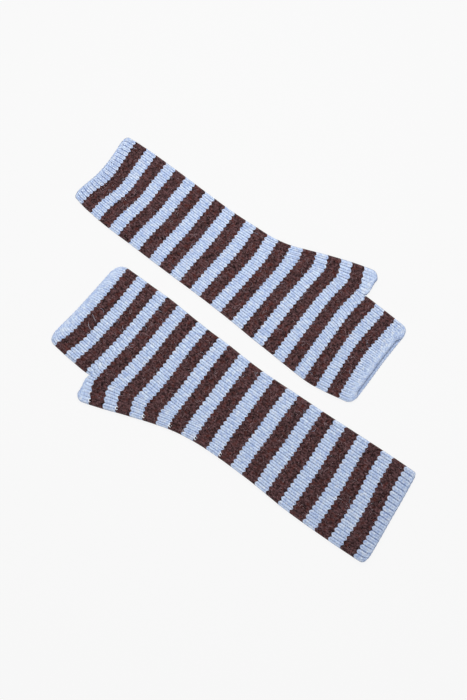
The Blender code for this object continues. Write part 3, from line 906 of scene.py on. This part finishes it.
def start_material(name, values):
    """A new material and its shader, with the values that are the same all over the surface."""
    material = bpy.data.materials.new(name)
    material.use_nodes = True
    shader = material.node_tree.nodes["Principled BSDF"]
    for socket, value in values.items():
        shader.inputs[socket].default_value = value
    return material, shader


def lambswool(name, light, dark, fleck, groove_shade, edge, line_depth, bloom):
    """Lambswool, carded, spun softly and knitted in a rib, and not pressed.

    To the eye it is matt, with a faint bloom of fibres that stand up. The yarn is a heather of
    lighter and darker fibres with a few flecks, and each leg of each stitch has a tone of its own.
    A dark line of painted shade runs where two legs meet, darkest in the grooves between the ribs,
    and the rims of the openings and the inside are painted a little darker, as shade.
    """
    material, shader = start_material(name, {
        "Roughness": KNIT_ROUGHNESS,
        "Specular IOR Level": WOOL_SPECULAR,
        "Sheen Weight": bloom,
        "Sheen Roughness": BLOOM_ROUGHNESS,
    })
    tree = material.node_tree
    place = add(tree, "ShaderNodeTexCoord").outputs["Object"]
    stitches = add(tree, "ShaderNodeUVMap", uv_map="stitches").outputs["UV"]
    axes = add(tree, "ShaderNodeSeparateXYZ", {0: stitches})
    rib = axes.outputs["X"]
    course = axes.outputs["Y"]

    # How far a point lies from the nearest line, groove and joint of two courses
    half_leg = 0.5 / LEGS_PER_RIB
    to_line = add(tree, "ShaderNodeMath", {0: rib, 1: half_leg}, operation="PINGPONG").outputs[0]
    to_groove = add(tree, "ShaderNodeMath", {0: rib, 1: 0.5}, operation="PINGPONG").outputs[0]
    to_course = add(tree, "ShaderNodeMath", {0: course, 1: 0.5}, operation="PINGPONG").outputs[0]

    # Where the lines of painted shade run, and how dark each is
    drawn = add(tree, "ShaderNodeMapRange", {
        "Value": course, "From Min": DRAWN_COURSES[0], "From Max": DRAWN_COURSES[1],
    }).outputs[0]
    to_line = add(tree, "ShaderNodeMath", {
        0: drawn, 1: -DRAWN_WIDENING, 2: to_line,
    }, operation="MULTIPLY_ADD").outputs[0]
    line = add(tree, "ShaderNodeMapRange", {
        "Value": to_line, "From Min": LINE_REACH, "From Max": LINE_CORE,
    }).outputs[0]
    depth = add(tree, "ShaderNodeMapRange", {
        "Value": to_groove, "From Max": 0.5,
        "To Min": line_depth, "To Max": line_depth * LEG_LINE_DEPTH,
    }).outputs[0]
    between_legs = add(tree, "ShaderNodeMath", {
        0: drawn, 1: to_groove,
    }, operation="MULTIPLY").outputs[0]
    closed = add(tree, "ShaderNodeMapRange", {
        "Value": between_legs, "From Max": 0.5, "To Min": 1.0, "To Max": DRAWN_LEG_LINE,
    }).outputs[0]
    between_courses = add(tree, "ShaderNodeMapRange", {
        "Value": to_course, "From Min": STITCH_REACH, "From Max": 0.0,
        "To Min": STITCH_LINE_DEPTH, "To Max": 1.0,
    }).outputs[0]
    near = add(tree, "ShaderNodeAttribute", attribute_name="near_opening").outputs["Fac"]
    knitted = add(tree, "ShaderNodeMapRange", {
        "Value": near, "To Min": 1.0, "To Max": LINE_AT_OPENING,
    }).outputs[0]
    # Painted shade: how dark the line is at each point, darkest where legs meet in the grooves
    painted_shade = line
    for share in (depth, closed, knitted, between_courses):
        painted_shade = add(tree, "ShaderNodeMath", {0: painted_shade, 1: share}, operation="MULTIPLY").outputs[0]

    # The heather: the shade of each leg of each stitch, and clumps of fibres over it
    leg = add(tree, "ShaderNodeMath", {0: rib, 1: LEGS_PER_RIB}, operation="MULTIPLY").outputs[0]
    leg = add(tree, "ShaderNodeMath", {0: leg}, operation="FLOOR").outputs[0]
    row = add(tree, "ShaderNodeMath", {0: course}, operation="FLOOR").outputs[0]
    one_leg = add(tree, "ShaderNodeCombineXYZ", {0: leg, 1: row}).outputs[0]
    leg_shade = add(tree, "ShaderNodeTexWhiteNoise", {"Vector": one_leg}).outputs["Value"]
    clumps = add(tree, "ShaderNodeTexNoise", {
        "Vector": place, "Scale": 1 / (CLUMP_SIZE * MILLIMETRE), "Detail": 2.0, "Roughness": 0.7,
    }).outputs["Fac"]
    flecks = add(tree, "ShaderNodeTexNoise", {
        "Vector": place, "Scale": 1 / (FLECK_SIZE * MILLIMETRE), "Detail": 2.0,
    }).outputs["Fac"]
    tone = add(tree, "ShaderNodeMapRange", {
        "Value": clumps, "From Min": CLUMP_TONES[0], "From Max": CLUMP_TONES[1],
    }).outputs[0]
    tone = add(tree, "ShaderNodeMix", {0: LEG_SHADE_SHARE, 2: tone, 3: leg_shade}).outputs[0]
    spots = add(tree, "ShaderNodeMapRange", {
        "Value": flecks, "From Min": FLECK_TONES[0], "From Max": FLECK_TONES[1],
        "To Max": FLECK_STRENGTH,
    }).outputs[0]
    # Painted shade on the rims of the openings and over the inside
    rim_shade = add(tree, "ShaderNodeMapRange", {
        "Value": near, "From Min": RIM_SHADE_BEGINS, "To Max": RIM_SHADE_STRENGTH,
    }).outputs[0]

    # Each layer of colour lies over the ones before it: the heather, the flecks, and then the painted
    # shade of the rims and of the lines.
    colour = linear(dark)
    for share, over in ((tone, light), (spots, fleck), (rim_shade, edge), (painted_shade, groove_shade)):
        colour = add(tree, "ShaderNodeMix", {
            0: share, 6: colour, 7: linear(over),
        }, data_type="RGBA").outputs[2]
    tree.links.new(colour, shader.inputs["Base Color"])
    bump = add(tree, "ShaderNodeBump", {
        "Height": clumps, "Strength": 0.7, "Distance": CLUMP_BUMP * MILLIMETRE,
    })
    tree.links.new(bump.outputs["Normal"], shader.inputs["Normal"])
    return material


def loose_wool(name, light, dark):
    """Lambswool that isn't knitted in: carded fibres that stand off the yarn, or the yarn itself.

    To the eye it is matt, and each fibre or turn of yarn is a little lighter or darker than the next.
    """
    material, shader = start_material(name, {
        "Roughness": LOOSE_ROUGHNESS,
        "Specular IOR Level": WOOL_SPECULAR,
    })
    tree = material.node_tree
    place = add(tree, "ShaderNodeTexCoord").outputs["Object"]
    clumps = add(tree, "ShaderNodeTexNoise", {
        "Vector": place, "Scale": 1 / (LOOSE_CLUMP_SIZE * MILLIMETRE), "Detail": 1.0,
    }).outputs["Fac"]
    tone = add(tree, "ShaderNodeMapRange", {
        "Value": clumps, "From Min": LOOSE_TONES[0], "From Max": LOOSE_TONES[1],
    }).outputs[0]
    colour = add(tree, "ShaderNodeMix", {
        0: tone, 6: linear(dark), 7: linear(light),
    }, data_type="RGBA").outputs[2]
    tree.links.new(colour, shader.inputs["Base Color"])
    return material


def paper(name):
    """White paper, uncoated, lit so strongly that it is an even white.

    To the eye it is quite matt and keeps only the softest shadows, so it glows by itself, and its own
    grey takes little from the lamps.
    """
    return start_material(name, {
        "Base Color": linear("#404040"),
        "Roughness": 1.0,
        "Specular IOR Level": 0.0,
        "Emission Color": linear("#FFFFFF"),
        "Emission Strength": 0.895,
    })[0]


# ---------------------------------------------------------------- the studio

# The camera stands straight above, with the photo's frame and scale. The studio is in metres.
PHOTO_HEIGHT = 700        # in pixels
PIXEL = 0.83              # in millimetres on the cloth
CLOTH_LEVEL = 0.003       # the height that this scale is taken at
CAMERA_HEIGHT = 3.0
CAMERA_SENSOR = 36.0
CAMERA_REACH = 10.0
FLOOR_HALF = 3.0

# Lamps, all aimed at the middle of the pair. The first hangs low over the upper warmer, so that the
# light falls off towards the lower one's forearm, and the second fills in its shade from the left.
Lamp = namedtuple("Lamp", "name place size power")
LAMPS = (
    Lamp("key_light", (0.03, 0.22, 0.6), 0.4, 2.85),
    Lamp("fill_light", (-0.9, 0.7, 1.2), 0.8, 3.1),
)

# The room's brightness by the height of a direction, where 1 is straight up. It is as bright as the
# floor near the horizon, so that a low view shows no grey band beyond it.
ROOM_HEIGHTS = (0.06, 0.2)
ROOM_STRENGTHS = (0.93, 0.34)


def build_floor():
    """The paper that the pair lies on. It isn't part of the object."""
    mesh = bmesh.new()
    bmesh.ops.create_grid(mesh, x_segments=1, y_segments=1, size=FLOOR_HALF)
    data = bpy.data.meshes.new("floor")
    mesh.to_mesh(data)
    mesh.free()
    data.materials.append(paper("white_paper"))
    floor = bpy.data.objects.new("floor", data)
    bpy.context.scene.collection.objects.link(floor)


def build_lamp(lamp):
    """A round lamp, aimed at the middle of the pair."""
    data = bpy.data.lights.new(lamp.name, "AREA")
    data.shape = "DISK"
    data.size = lamp.size
    data.energy = lamp.power
    light = bpy.data.objects.new(lamp.name, data)
    light.location = lamp.place
    light.rotation_euler = (-Vector(lamp.place)).to_track_quat("-Z", "Y").to_euler()
    bpy.context.scene.collection.objects.link(light)


def build_room():
    """The white room around, which lights the pair softly from all sides."""
    world = bpy.data.worlds.new("studio")
    world.use_nodes = True
    tree = world.node_tree
    background = tree.nodes["Background"]
    background.inputs["Color"].default_value = linear("#FFFFFF")
    direction = add(tree, "ShaderNodeTexCoord").outputs["Generated"]
    height = add(tree, "ShaderNodeSeparateXYZ", {0: direction}).outputs["Z"]
    strength = add(tree, "ShaderNodeMapRange", {
        "Value": height, "From Min": ROOM_HEIGHTS[0], "From Max": ROOM_HEIGHTS[1],
        "To Min": ROOM_STRENGTHS[0], "To Max": ROOM_STRENGTHS[1],
    }).outputs[0]
    tree.links.new(strength, background.inputs["Strength"])
    bpy.context.scene.world = world


def build_camera():
    """The camera, straight above the pair, that frames it as the photo does."""
    data = bpy.data.cameras.new("camera")
    data.sensor_width = CAMERA_SENSOR
    framed = PHOTO_HEIGHT * PIXEL * MILLIMETRE
    data.lens = CAMERA_SENSOR * (CAMERA_HEIGHT - CLOTH_LEVEL) / framed
    data.clip_end = CAMERA_REACH
    camera = bpy.data.objects.new("camera", data)
    camera.location = (0, 0, CAMERA_HEIGHT)
    bpy.context.scene.collection.objects.link(camera)
    bpy.context.scene.camera = camera


def build_studio():
    """All that the photo was taken with."""
    build_floor()
    for lamp in LAMPS:
        build_lamp(lamp)
    build_room()
    build_camera()
    bpy.context.scene.view_settings.view_transform = "Standard"


# Light blue yarn: pale and cool, with a soft white bloom. The deep blue where its legs meet, and
# the darker blue of its rims, are painted shade.
blue_wool = lambswool(
    "blue_lambswool", light="#DCEAFC", dark="#A2B7E0", fleck="#E6ECF6", groove_shade="#20397A",
    edge="#93A9D6", line_depth=1.0, bloom=0.12,
)
# Dark brown yarn: reddish and nearly black fibres that take in most of the light, so that its lines
# and its bloom hardly show. The lines, and the darker brown of its rims, are painted shade.
brown_wool = lambswool(
    "brown_lambswool", light="#6E4F51", dark="#080000", fleck="#5A2820", groove_shade="#060101",
    edge="#2A1516", line_depth=0.6, bloom=0.03,
)
# Fibres that carding and wear have raised from the yarn: light shines through them, so each looks
# paler than its yarn.
blue_fuzz = loose_wool("loose_blue_wool", light="#DDE4F2", dark="#A9B4D0")
brown_fuzz = loose_wool("loose_brown_wool", light="#C4B2B8", dark="#7A504A")
# Ends of the same spun yarns by the thumb side, in painted light and shade: the blue one stands up
# into the light and is painted nearly white, and the brown one lies in its shade and is painted
# darker.
lit_blue_yarn = loose_wool("blue_yarn_loop", light="#F6F9FF", dark="#E4ECFA")
shaded_brown_yarn = loose_wool("brown_yarn_end", light="#2E1A1C", dark="#140809")

for warmer in (LOWER, UPPER):
    grids = wall_grids(warmer)
    shift = build_knit(warmer, grids, (blue_wool, brown_wool))
    build_fuzz(warmer, grids, shift, (blue_fuzz, brown_fuzz))
    if warmer.loop_courses:
        build_loops(warmer, shift, (lit_blue_yarn, shaded_brown_yarn))
build_studio()
